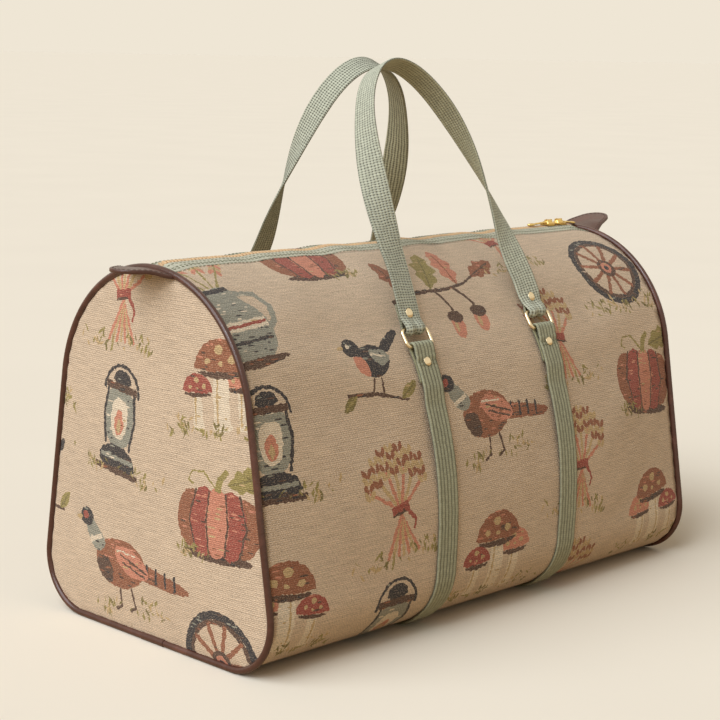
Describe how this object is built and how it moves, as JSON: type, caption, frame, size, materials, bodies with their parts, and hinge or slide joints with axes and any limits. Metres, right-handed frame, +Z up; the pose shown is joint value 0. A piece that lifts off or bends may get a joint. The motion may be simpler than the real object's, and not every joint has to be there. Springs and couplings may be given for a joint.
{
  "type": "carpet bag",
  "caption": "Soft weekend bag of woven tapestry cloth with a domed zipped top, piped ends, leather end tabs and webbing handles that swing on wire rings",
  "frame": {"origin": "middle of the bag's footprint on the surface that it stands on", "axes": "+X along the bag's length towards the end where the zip sliders are, +Y from the front to the back, +Z up"},
  "size_m": [0.5818, 0.2828, 0.4405],
  "materials": {
    "tapestry": "woven",
    "leather": "semi-gloss",
    "webbing": "coarse weave",
    "zip_tape": "woven",
    "zip_teeth": "satin",
    "metal": "polished",
    "lining": "plain weave",
    "board": "matte"
  },
  "bodies": {
    "bag": {"front_panel": "tapestry", "back_panel": "tapestry", "left_end_panel": "tapestry", "right_end_panel": "tapestry", "left_piping": "leather", "right_piping": "leather", "lining": "lining", "left_end_lining": "lining", "right_end_lining": "lining", "base_board": "board", "left_tab": "leather", "right_tab": "leather", "front_zip_tape": "zip_tape", "back_zip_tape": "zip_tape", "front_zip_teeth": "zip_teeth", "back_zip_teeth": "zip_teeth", "zip_end_stops": "metal", "front_left_strap": "webbing", "front_right_strap": "webbing", "back_left_strap": "webbing", "back_right_strap": "webbing", "strap_rivets": "metal"},
    "left_zip_slider": {"left_slider": "metal"},
    "right_zip_slider": {"right_slider": "metal"},
    "left_zip_pull": {"left_pull": "metal"},
    "right_zip_pull": {"right_pull": "metal"},
    "front_left_link": {"front_left_ring": "metal"},
    "front_right_link": {"front_right_ring": "metal"},
    "back_left_link": {"back_left_ring": "metal"},
    "back_right_link": {"back_right_ring": "metal"},
    "front_grip": {"front_handle": "webbing", "front_handle_rivets": "metal"},
    "back_grip": {"back_handle": "webbing", "back_handle_rivets": "metal"}
  },
  "joints": [
    {"name": "left_slider_run", "type": "slide", "parent": "bag", "child": "left_zip_slider", "axis": [1, 0, 0], "range_m": [-0.44, 0]},
    {"name": "right_slider_run", "type": "slide", "parent": "bag", "child": "right_zip_slider", "axis": [1, 0, 0], "range_m": [0, 0.0035]},
    {"name": "left_pull_swing", "type": "hinge", "parent": "left_zip_slider", "child": "left_zip_pull", "pos_m": [0.2115, 0, 0.29355], "axis": [0, 1, 0], "range_deg": [0, 100]},
    {"name": "right_pull_swing", "type": "hinge", "parent": "right_zip_slider", "child": "right_zip_pull", "pos_m": [0.2263, 0, 0.29355], "axis": [0, -1, 0], "range_deg": [0, 100]},
    {"name": "front_left_ring_swing", "type": "hinge", "parent": "bag", "child": "front_left_link", "pos_m": [-0.074, -0.10735, 0.22357], "axis": [1, 0, 0], "range_deg": [0, 110]},
    {"name": "front_right_ring_swing", "type": "hinge", "parent": "bag", "child": "front_right_link", "pos_m": [0.074, -0.10735, 0.22357], "axis": [1, 0, 0], "range_deg": [0, 110]},
    {"name": "back_left_ring_swing", "type": "hinge", "parent": "bag", "child": "back_left_link", "pos_m": [-0.074, 0.10735, 0.22357], "axis": [-1, 0, 0], "range_deg": [0, 110]},
    {"name": "back_right_ring_swing", "type": "hinge", "parent": "bag", "child": "back_right_link", "pos_m": [0.074, 0.10735, 0.22357], "axis": [-1, 0, 0], "range_deg": [0, 110]},
    {"name": "front_handle_swing", "type": "hinge", "parent": "front_left_link", "child": "front_grip", "pos_m": [-0.074, -0.09914, 0.23577], "axis": [1, 0, 0], "range_deg": [0, 70]},
    {"name": "back_handle_swing", "type": "hinge", "parent": "back_left_link", "child": "back_grip", "pos_m": [-0.074, 0.09914, 0.23577], "axis": [-1, 0, 0], "range_deg": [0, 70]}
  ],
  "couplings": [
    {"joint": "front_right_ring_swing", "follows": "front_left_ring_swing", "ratio": 1},
    {"joint": "back_right_ring_swing", "follows": "back_left_ring_swing", "ratio": 1}
  ]
}
